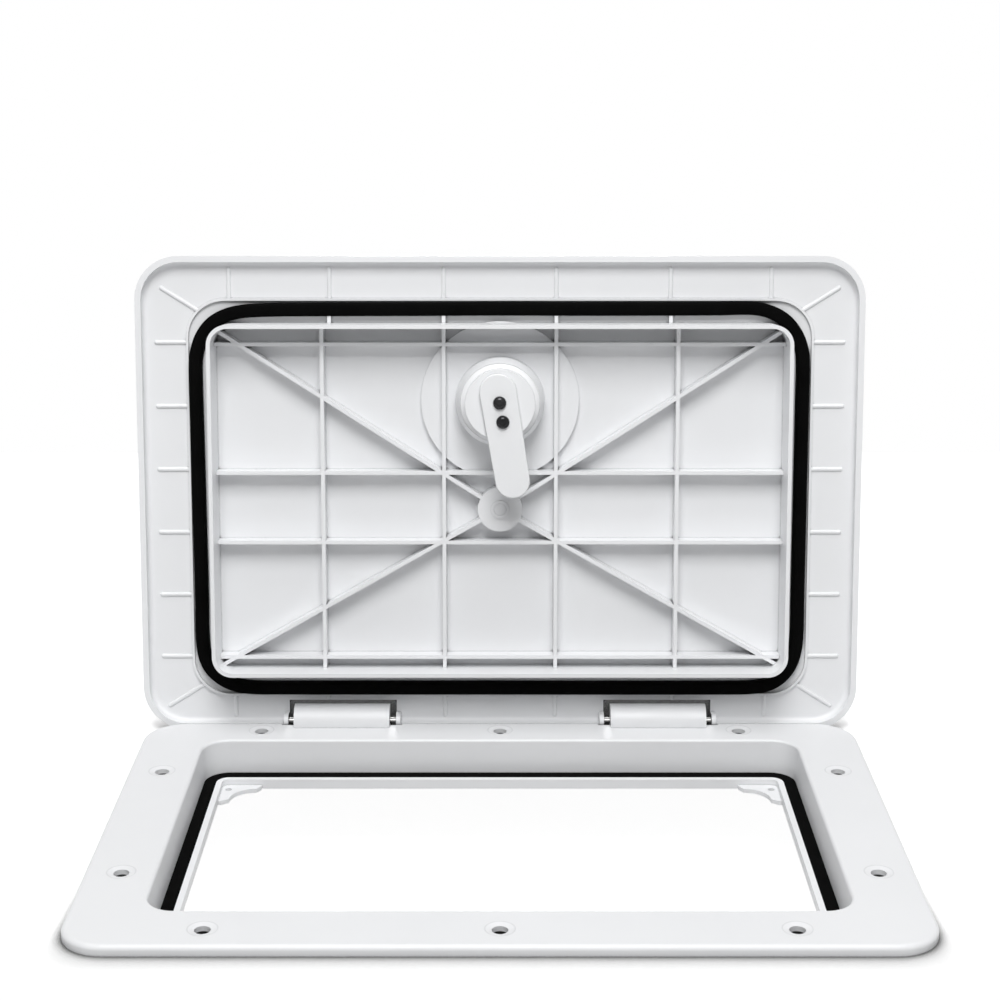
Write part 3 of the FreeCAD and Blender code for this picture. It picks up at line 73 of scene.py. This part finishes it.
def noise(nodes, links, coordinates, scale, detail):
    """Cloudy pattern of 0 to 1 that stays on the piece."""
    texture = nodes.new("ShaderNodeTexNoise")
    texture.inputs["Scale"].default_value = scale
    texture.inputs["Detail"].default_value = detail
    links.new(coordinates.outputs["Object"], texture.inputs["Vector"])
    return texture.outputs["Fac"]


def spread(nodes, links, source, low, high):
    """Turns a noise into numbers from low to high."""
    mapped = nodes.new("ShaderNodeMapRange")
    mapped.inputs["From Min"].default_value = NOISE_LOW
    mapped.inputs["From Max"].default_value = NOISE_HIGH
    mapped.inputs["To Min"].default_value = low
    mapped.inputs["To Max"].default_value = high
    links.new(source, mapped.inputs["Value"])
    return mapped.outputs["Result"]


def tint(nodes, links, source, dark, light):
    """Blends two colours by a noise."""
    ramp = nodes.new("ShaderNodeValToRGB")
    ramp.color_ramp.elements[0].position = NOISE_LOW
    ramp.color_ramp.elements[0].color = (*dark, 1.0)
    ramp.color_ramp.elements[1].position = NOISE_HIGH
    ramp.color_ramp.elements[1].color = (*light, 1.0)
    links.new(source, ramp.inputs["Fac"])
    return ramp.outputs["Color"]


def bump(nodes, links, source, strength, distance, normal=None):
    """Tilts the surface by a noise, on top of another tilt where one is given."""
    lift = nodes.new("ShaderNodeBump")
    lift.inputs["Strength"].default_value = strength
    lift.inputs["Distance"].default_value = distance
    links.new(source, lift.inputs["Height"])
    if normal:
        links.new(normal, lift.inputs["Normal"])
    return lift.outputs["Normal"]


def math_node(nodes, operation, first, second=0.0):
    """Sum, product or the like of two values, each a socket or a number."""
    node = nodes.new("ShaderNodeMath")
    node.operation = operation
    tree = node.id_data
    for socket, amount in zip(node.inputs, (first, second)):
        if isinstance(amount, (int, float)):
            socket.default_value = amount
        else:
            tree.links.new(amount, socket)
    return node.outputs["Value"]


def ramp_between(nodes, links, source, start, end, low, high):
    """Goes smoothly from low at start to high at end."""
    node = nodes.new("ShaderNodeMapRange")
    node.interpolation_type = "SMOOTHSTEP"
    node.inputs["From Min"].default_value = start
    node.inputs["From Max"].default_value = end
    node.inputs["To Min"].default_value = low
    node.inputs["To Max"].default_value = high
    links.new(source, node.inputs["Value"])
    return node.outputs["Result"]


def colour_mix(nodes, links, share, first, second):
    """Goes from the first colour at a share of 0 to the second at 1. Each is a socket or a plain colour."""
    blend = nodes.new("ShaderNodeMix")
    blend.data_type = "RGBA"
    links.new(share, blend.inputs["Factor"])
    for socket, colour in ((blend.inputs[6], first), (blend.inputs[7], second)):
        if isinstance(colour, tuple):
            socket.default_value = (*colour, 1.0)
        else:
            links.new(colour, socket)
    return blend.outputs[2]


def place_on_part(nodes, links, coordinates):
    """How far a place is from the middle, to either side, and its own Y and Z."""
    parts = nodes.new("ShaderNodeSeparateXYZ")
    links.new(coordinates.outputs["Object"], parts.inputs["Vector"])
    return math_node(nodes, "ABSOLUTE", parts.outputs["X"]), parts.outputs["Y"], parts.outputs["Z"]


def nook_shade(nodes, distance):
    """Share of open air near a place: 1 on a free surface, 0.5 in a square corner and 0 deep in a gap."""
    nook = nodes.new("ShaderNodeAmbientOcclusion")
    nook.samples = 5
    nook.inputs["Distance"].default_value = distance
    return nook.outputs["AO"]


def seen_ray(nodes):
    """1 for what the camera sees, directly, in a gloss or through glass, and 0 for light on the object."""
    path = nodes.new("ShaderNodeLightPath")
    gloss = math_node(nodes, "MAXIMUM", path.outputs["Is Glossy Ray"], path.outputs["Is Transmission Ray"])
    return math_node(nodes, "MAXIMUM", path.outputs["Is Camera Ray"], gloss)


def painted_hole_shade(nodes, links, coordinates):
    """Share of painted shade on the frame round its screw holes.

    1 on the lower end of the holes' walls, a painted shadow where they meet the deck, a little on the line
    round each dish, a painted shade line, and 0 elsewhere. Front and rear and both sides mirror each other."""
    across, depth, level = place_on_part(nodes, links, coordinates)
    along = math_node(nodes, "ABSOLUTE", depth)
    nearest = None
    for hole_x, hole_y in SCREW_HOLES:
        step_x = math_node(nodes, "POWER", math_node(nodes, "SUBTRACT", across, hole_x * MM), 2.0)
        step_y = math_node(nodes, "POWER", math_node(nodes, "SUBTRACT", along, hole_y * MM), 2.0)
        distance = math_node(nodes, "SQRT", math_node(nodes, "ADD", step_x, step_y))
        nearest = math_node(nodes, "MINIMUM", nearest, distance) if nearest else distance
    inside = math_node(nodes, "LESS_THAN", nearest, HOLE_REACH * MM)
    low = ramp_between(nodes, links, level, start=HOLE_SHADE_TOP * MM, end=HOLE_UNSHADED_FROM * MM,
                       low=1.0, high=0.0)
    off_line = math_node(nodes, "ABSOLUTE", math_node(nodes, "SUBTRACT", nearest, DISH_LINE * MM))
    on_line = ramp_between(nodes, links, off_line, start=DISH_LINE_HALF * MM, end=DISH_LINE_END * MM,
                           low=DISH_LINE_SHADE, high=0.0)
    return math_node(nodes, "MAXIMUM", math_node(nodes, "MULTIPLY", inside, low), on_line)


def painted_notch_shade(nodes, links, coordinates):
    """Share of painted shade on the lid round its hinges.

    1 on the walls of its notches, painted shade for the narrow dark gap round the hinge barrels, and 0
    elsewhere. The height is measured from the hinge line up the open lid, which leans back."""
    across, depth, level = place_on_part(nodes, links, coordinates)
    lean = math.radians(OPEN_ANGLE - 90.0)
    offset = math_node(nodes, "ABSOLUTE", math_node(nodes, "SUBTRACT", across, HINGE_SIDE * MM))
    within = ramp_between(nodes, links, offset, start=NOTCH_HALF * MM, end=(NOTCH_HALF + NOTCH_EDGE) * MM,
                          low=1.0, high=0.0)
    above = math_node(nodes, "SUBTRACT", level, HINGE_LEVEL * MM)
    behind = math_node(nodes, "SUBTRACT", depth, HINGE_REAR * MM)
    height = math_node(nodes, "ADD", math_node(nodes, "MULTIPLY", above, math.cos(lean)),
                       math_node(nodes, "MULTIPLY", behind, math.sin(lean)))
    low = ramp_between(nodes, links, height, start=NOTCH_TOP * MM, end=(NOTCH_TOP + NOTCH_EDGE) * MM,
                       low=1.0, high=0.0)
    return math_node(nodes, "MULTIPLY", within, low)


# Black of the painted shade in narrow gaps and in crevices, and how far the crevice shade reaches in
# millimetres
PAINTED_GAP_SHADE = (0.01, 0.01, 0.01)
PAINTED_CREVICE_SHADE = (0.02, 0.02, 0.021)
CREVICE_SHADE_REACH = 2.0


def moulded_plastic(name, dark, light, roughness, grain=0.08, painted_shade_places=None):
    """Moulded plastic: faint flow marks in the colour, a fine spark-eroded grain and a slow ripple.

    It has painted shade in crevices, and more painted shade where the given mask puts it."""
    material, nodes, links, principled = shader(name, light, roughness, IOR=1.52)
    coordinates = nodes.new("ShaderNodeTexCoord")
    flow = noise(nodes, links, coordinates, scale=9.0, detail=4.0)
    colour = tint(nodes, links, flow, dark, light)
    # Painted shade, where the part's own mask puts it
    if painted_shade_places:
        shadow = painted_shade_places(nodes, links, coordinates)
        colour = colour_mix(nodes, links, shadow, colour, PAINTED_GAP_SHADE)
    # Painted shade in crevices: an ambient-occlusion node darkens the colour towards black
    unshaded_share = ramp_between(nodes, links, nook_shade(nodes, CREVICE_SHADE_REACH * MM), start=0.12, end=0.62,
                            low=0.0, high=1.0)
    colour = colour_mix(nodes, links, unshaded_share, PAINTED_CREVICE_SHADE, colour)
    links.new(colour, principled.inputs["Base Color"])
    polish = noise(nodes, links, coordinates, scale=45.0, detail=2.0)
    unevenness = spread(nodes, links, polish, low=roughness - 0.05, high=roughness + 0.06)
    links.new(unevenness, principled.inputs["Roughness"])
    ripple = noise(nodes, links, coordinates, scale=30.0, detail=1.0)
    slow = bump(nodes, links, ripple, strength=0.04, distance=0.6 * MM)
    texture = noise(nodes, links, coordinates, scale=2600.0, detail=2.0)
    fine = bump(nodes, links, texture, strength=grain, distance=0.06 * MM, normal=slow)
    links.new(fine, principled.inputs["Normal"])
    return material


def soft_rubber(name):
    """Black cellular rubber: a dull skin with fine pores and a few paler rubbed places."""
    material, nodes, links, principled = shader(name, (0.002, 0.002, 0.002), roughness=0.85, IOR=1.4,
                                                Specular_IOR_Level=0.04)
    coordinates = nodes.new("ShaderNodeTexCoord")
    rub = noise(nodes, links, coordinates, scale=60.0, detail=4.0)
    colour = tint(nodes, links, rub, (0.001, 0.001, 0.001), (0.0035, 0.0035, 0.0035))
    links.new(colour, principled.inputs["Base Color"])
    links.new(spread(nodes, links, rub, low=0.7, high=0.95), principled.inputs["Roughness"])
    pores = noise(nodes, links, coordinates, scale=1400.0, detail=3.0)
    links.new(bump(nodes, links, pores, strength=0.3, distance=0.2 * MM), principled.inputs["Normal"])
    return material


def metal(name, dark, light, roughness):
    """Metal with turning marks and slightly uneven polish."""
    material, nodes, links, principled = shader(name, light, roughness, Metallic=1.0)
    coordinates = nodes.new("ShaderNodeTexCoord")
    stain = noise(nodes, links, coordinates, scale=220.0, detail=3.0)
    links.new(tint(nodes, links, stain, dark, light), principled.inputs["Base Color"])
    unevenness = spread(nodes, links, stain, low=roughness - 0.07, high=roughness + 0.1)
    links.new(unevenness, principled.inputs["Roughness"])
    marks = noise(nodes, links, coordinates, scale=3200.0, detail=1.0)
    links.new(bump(nodes, links, marks, strength=0.12, distance=0.05 * MM), principled.inputs["Normal"])
    return material


MOULDING_WHITES = (0.805, 0.812, 0.824), (0.83, 0.837, 0.85)
LATCH_WHITES = (0.815, 0.822, 0.834), (0.845, 0.852, 0.865)

# Painted shade in the frame's screw holes and on the walls of the lid's hinge notches
frame_plastic = moulded_plastic("white_frame_plastic", *MOULDING_WHITES, roughness=0.42,
                               painted_shade_places=painted_hole_shade)
lid_plastic = moulded_plastic("white_lid_plastic", *MOULDING_WHITES, roughness=0.4,
                             painted_shade_places=painted_notch_shade)
latch_plastic = moulded_plastic("white_latch_plastic", *LATCH_WHITES, roughness=0.34, grain=0.05)
washer_plastic = moulded_plastic("black_washer_plastic", (0.02, 0.02, 0.02), (0.035, 0.035, 0.035),
                                roughness=0.5)
seal_rubber = soft_rubber("black_seal_rubber")
pin_steel = metal("hinge_pin_steel", (0.34, 0.34, 0.335), (0.46, 0.46, 0.45), roughness=0.36)
screw_steel = metal("blackened_screw_steel", (0.02, 0.02, 0.021), (0.04, 0.04, 0.042), roughness=0.16)
insert_brass = metal("insert_brass", (0.5, 0.36, 0.14), (0.72, 0.54, 0.24), roughness=0.3)

FINISHES = {
    "frame": frame_plastic, "lid": lid_plastic,
    "knob": latch_plastic, "retaining_ring": latch_plastic, "latch_tongue": latch_plastic,
    "knob_washer": washer_plastic,
    "frame_seal": seal_rubber, "lid_gasket": seal_rubber, "drum_o_ring": seal_rubber,
    "hinge_pin_left": pin_steel, "hinge_pin_right": pin_steel,
    "tongue_screw_inner": screw_steel, "tongue_screw_outer": screw_steel,
    "screw_insert_inner": insert_brass, "screw_insert_outer": insert_brass,
}


def finish_node(node, material):
    """Gives a CAD node its material in every slot."""
    mesh = cad[node].data
    if not mesh.materials:
        mesh.materials.append(material)
    for number in range(len(mesh.materials)):
        mesh.materials[number] = material


for node_name, finish in FINISHES.items():
    finish_node(node_name, finish)


def finished_object(name, mesh, material):
    """New object of a bmesh, with its place in its mesh."""
    data = bpy.data.meshes.new(name)
    mesh.to_mesh(data)
    mesh.free()
    data.materials.append(material)
    piece = bpy.data.objects.new(name, data)
    bpy.context.collection.objects.link(piece)
    return piece


# Soft ring on the lid
# Middle line of the ring as places on the lid, in millimetres from its middle and from the hinge axis
RING_LINE = [
    (0.0, 16.9), (-52.0, 16.9), (-118.0, 16.95), (-131.0, 17.2), (-141.5, 19.2), (-149.9, 24.6),
    (-154.6, 32.0), (-156.3, 43.0), (-156.3, 64.0), (-156.7, 117.0), (-157.1, 160.0), (-157.25, 180.0),
    (-156.9, 190.5), (-154.9, 199.0), (-152.2, 204.2), (-148.4, 208.6), (-144.3, 211.3), (-139.5, 213.3),
    (-134.2, 214.5), (-128.0, 215.2), (-116.0, 215.6), (-84.0, 215.8), (-51.0, 215.9), (0.0, 216.1),
    (51.0, 216.0), (112.0, 216.2), (124.0, 216.5), (132.0, 216.2), (139.6, 214.3), (147.0, 210.0),
    (152.6, 203.0), (155.7, 195.0), (156.4, 188.0), (156.4, 169.0), (156.2, 117.0), (156.0, 64.0),
    (155.9, 44.0), (154.6, 34.4), (151.8, 27.5), (146.9, 21.9), (140.6, 18.5), (131.0, 17.1),
    (118.0, 16.9), (52.0, 16.85),
]
RING_STEPS = 6

# Section of the ring, in millimetres: its levels are measured from the hinge axis, towards the lid's skin
RING_WIDTH, RING_FACE, RING_FLOOR = 6.9, -0.2, 5.0
RING_ROUNDING, RING_CROWN = 1.7, 0.02


def smooth_loop(points, steps):
    """Closed smooth line through points, with steps places from one point to the next."""
    count = len(points)
    line = []
    for number in range(count):
        before, start, end, after = [Vector(points[(number + shift) % count]) for shift in (-1, 0, 1, 2)]
        gap = (end - start).length
        leave = (end - before) / ((start - before).length + gap) * gap
        arrive = (after - start) / ((after - end).length + gap) * gap
        for step in range(steps):
            t = step / steps
            line.append((2 * t ** 3 - 3 * t ** 2 + 1) * start + (t ** 3 - 2 * t ** 2 + t) * leave
                        + (3 * t ** 2 - 2 * t ** 3) * end + (t ** 3 - t ** 2) * arrive)
    return line


def ring_section():
    """Section of the ring, as offsets across it and levels: a flat foot and a face with round edges."""
    half = RING_WIDTH / 2
    section = [(-half, RING_FLOOR), (-half, RING_FACE + RING_ROUNDING)]
    for turn in (30, 60):
        angle = math.radians(turn)
        section.append((-half + RING_ROUNDING * (1 - math.cos(angle)),
                        RING_FACE + RING_ROUNDING * (1 - math.sin(angle))))
    section += [(-half + RING_ROUNDING, RING_FACE + RING_CROWN), (0.0, RING_FACE)]
    return section + [(-across, level) for across, level in reversed(section[:-1])]


def lid_ring():
    """Rubber ring lying loosely round the lid's plug wall, as it has settled into its corners.

    One section is drawn, copied along the ring's middle line and bridged from each place to the next."""
    mesh = bmesh.new()
    corners = [mesh.verts.new((across, 0.0, level)) for across, level in ring_section()]
    outline = [mesh.edges.new((corner, corners[number - 1])) for number, corner in enumerate(corners)]
    open_lid = (Matrix.Scale(MM, 4) @ Matrix.Translation((0.0, HINGE_REAR, HINGE_LEVEL))
                @ Matrix.Rotation(math.radians(-OPEN_ANGLE), 4, "X"))
    line = smooth_loop(RING_LINE, RING_STEPS)
    loops = []
    for number, place in enumerate(line):
        run = line[(number + 1) % len(line)] - line[number - 1]
        facing = Matrix.Rotation(math.atan2(-run.y, run.x) - math.radians(90), 4, "Z")
        copied = bmesh.ops.duplicate(mesh, geom=corners + outline)["geom"]
        verts = [item for item in copied if isinstance(item, bmesh.types.BMVert)]
        loops.append([item for item in copied if isinstance(item, bmesh.types.BMEdge)])
        bmesh.ops.transform(mesh, verts=verts,
                            matrix=open_lid @ Matrix.Translation((place.x, -place.y, 0.0)) @ facing)
    for number, loop in enumerate(loops):
        bmesh.ops.bridge_loops(mesh, edges=loops[number - 1] + loop)
    bmesh.ops.delete(mesh, geom=corners, context="VERTS")
    bmesh.ops.recalc_face_normals(mesh, faces=mesh.faces)
    for face in mesh.faces:
        face.smooth = True
    ring = finished_object("lid_ring", mesh, seal_rubber)
    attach(ring, "lid")
    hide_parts("lid_gasket")


lid_ring()


# Stage: sizes in metres
FLOOR_TONE = 0.9
# Reach of the painted nook shade and of the painted shadow under the open lid, and how deep that shadow
# gets
NOOK_REACH, SHELTER_REACH, SHELTER_DEPTH = 0.012, 0.09, 6.0
LOWER_FLOOR = -0.07


def floor_material(name, glow_of):
    """Pale floor that is seen as white while it keeps the object's shadow: partly cast by the lamps, partly
    painted shade in nooks and a painted shadow under the open lid.

    glow_of gives its glow, how sheltered it lies under the open lid, where a painted shadow goes, and how
    deep the painted shade gets in a nook."""
    material, nodes, links, principled = shader(name, (FLOOR_TONE,) * 3, roughness=0.9,
                                                Specular_IOR_Level=0.0)
    glow, sheltered, contact_shade_power = glow_of(nodes, links)
    # Painted shade: ambient-occlusion nodes darken the floor's colour and its glow in nooks, and more under
    # the open lid
    shade = math_node(nodes, "POWER", nook_shade(nodes, NOOK_REACH), contact_shade_power)
    if sheltered:
        depth = math_node(nodes, "MULTIPLY", sheltered, SHELTER_DEPTH)
        painted_lid_shadow = math_node(nodes, "POWER", nook_shade(nodes, SHELTER_REACH), depth)
        shade = math_node(nodes, "MULTIPLY", shade, painted_lid_shadow)
    tone = nodes.new("ShaderNodeCombineColor")
    for channel in ("Red", "Green", "Blue"):
        links.new(math_node(nodes, "MULTIPLY", shade, FLOOR_TONE), tone.inputs[channel])
    links.new(tone.outputs["Color"], principled.inputs["Base Color"])
    lit = nodes.new("ShaderNodeEmission")
    lit.inputs["Color"].default_value = (1.0, 1.0, 1.0, 1.0)
    seen = math_node(nodes, "MULTIPLY", seen_ray(nodes), glow)
    links.new(math_node(nodes, "MULTIPLY", seen, shade), lit.inputs["Strength"])
    both = nodes.new("ShaderNodeAddShader")
    links.new(principled.outputs["BSDF"], both.inputs[0])
    links.new(lit.outputs["Emission"], both.inputs[1])
    links.new(both.outputs["Shader"], nodes["Material Output"].inputs["Surface"])
    return material


def deck_glow(nodes, links):
    """The deck floor's glow, where its painted shadow lies and how deep its painted nook shade is.

    The glow lifts it to white, less in front of the frame, and there is none behind the open lid. What
    isn't lifted gets a painted shadow under the lid, and the painted contact shade is deepest where the
    floor meets the front of the frame."""
    across, depth, _ = place_on_part(nodes, links, nodes.new("ShaderNodeTexCoord"))
    beside = ramp_between(nodes, links, across, start=0.160, end=0.172, low=0.0, high=1.0)
    before = ramp_between(nodes, links, depth, start=0.098, end=0.104, low=1.0, high=0.0)
    beyond = ramp_between(nodes, links, depth, start=0.28, end=0.40, low=0.0, high=1.0)
    clear = math_node(nodes, "MAXIMUM", math_node(nodes, "MAXIMUM", beside, before), beyond)
    level = ramp_between(nodes, links, depth, start=-0.13, end=-0.09, low=0.1, high=0.6)
    # Painted contact shade, deepest in front of the frame
    contact_shade_power = ramp_between(nodes, links, depth, start=-0.12, end=-0.05, low=4.2, high=1.0)
    return math_node(nodes, "MULTIPLY", level, clear), math_node(nodes, "SUBTRACT", 1.0, clear), contact_shade_power


def full_glow(nodes, links):
    """The same for the lower floor: nearly white all over, with no painted shadow under the lid and
    only a plain painted nook shade.
    """
    return 0.95, None, 1.0


def stage_plate(name, rectangles, level, glow_of):
    """Flat pieces of floor, each given by its left, front, right and rear edge."""
    mesh = bmesh.new()
    for left, front, right, rear in rectangles:
        corners = [mesh.verts.new(place) for place in
                   ((left, front, level), (right, front, level), (right, rear, level), (left, rear, level))]
        mesh.faces.new(corners)
    plate = finished_object(name, mesh, floor_material(name + "_white", glow_of))


def floors():
    """Deck floor with a cut-out for the part that goes below deck, and a pale floor under the opening."""
    left, front, right, rear = -0.8, -0.6, 0.8, 0.7
    cut_side, cut_front, cut_rear = 0.1545, -0.0937, 0.0967
    before, behind = (left, front, right, cut_front), (left, cut_rear, right, rear)
    beside = (left, cut_front, -cut_side, cut_rear), (cut_side, cut_front, right, cut_rear)
    stage_plate("deck_floor", [before, behind, *beside], 0.0, deck_glow)
    stage_plate("lower_floor", [(-0.5, -0.4, 0.5, 0.5)], LOWER_FLOOR, full_glow)


def white_surroundings(fill):
    """World that is white behind the object and in its gloss, and lights it faintly from all round."""
    world = bpy.data.worlds.new("studio")
    bpy.context.scene.world = world
    world.use_nodes = True
    nodes = world.node_tree.nodes
    background = nodes["Background"]
    background.inputs["Color"].default_value = (1.0, 1.0, 1.0, 1.0)
    world.node_tree.links.new(math_node(nodes, "MAXIMUM", seen_ray(nodes), fill),
                              background.inputs["Strength"])


def softbox(name, place, target, width, height, power):
    """Rectangular lamp that faces its target."""
    data = bpy.data.lights.new(name, "AREA")
    data.shape = "RECTANGLE"
    data.size = width
    data.size_y = height
    data.energy = power
    lamp = bpy.data.objects.new(name, data)
    bpy.context.collection.objects.link(lamp)
    lamp.location = place
    lamp.rotation_euler = (Vector(target) - Vector(place)).to_track_quat("-Z", "Y").to_euler()


# The photograph's camera: lens and frame in pixels, its sensor in millimetres, and its place in
# millimetres before the middle of the flange and above its top, with how far it looks down in degrees
PHOTO_LENS, PHOTO_SIZE, SENSOR_WIDTH = 1993.79, 1000.0, 36.0
CAMERA_BEFORE, CAMERA_ABOVE, CAMERA_DOWN = 860.51, 401.03, 15.92


def photograph_camera():
    """Camera at the photograph's place: in front of the part, looking a little down on it."""
    data = bpy.data.cameras.new("camera")
    data.sensor_width = SENSOR_WIDTH
    data.lens = PHOTO_LENS / PHOTO_SIZE * SENSOR_WIDTH
    data.clip_start = 0.01
    data.clip_end = 50.0
    camera = bpy.data.objects.new("camera", data)
    bpy.context.collection.objects.link(camera)
    camera.location = (0.0, -CAMERA_BEFORE * MM, (CAMERA_ABOVE + FLANGE_TOP) * MM)
    camera.rotation_euler = (math.radians(90.0 - CAMERA_DOWN), 0.0, 0.0)
    bpy.context.scene.camera = camera


floors()
white_surroundings(fill=0.12)
softbox("key_softbox", (0.0, -0.85, 1.45), (0.0, 0.06, 0.12), width=0.8, height=0.8, power=21.7)
softbox("overhead_softbox", (0.0, -0.05, 1.6), (0.0, 0.0, 0.0), width=1.0, height=0.7, power=6.2)
softbox("rear_softbox", (0.0, 1.5, 0.4), (0.0, 0.16, 0.13), width=0.45, height=0.6, power=9.0)
photograph_camera()
bpy.context.scene.view_settings.view_transform = "Standard"
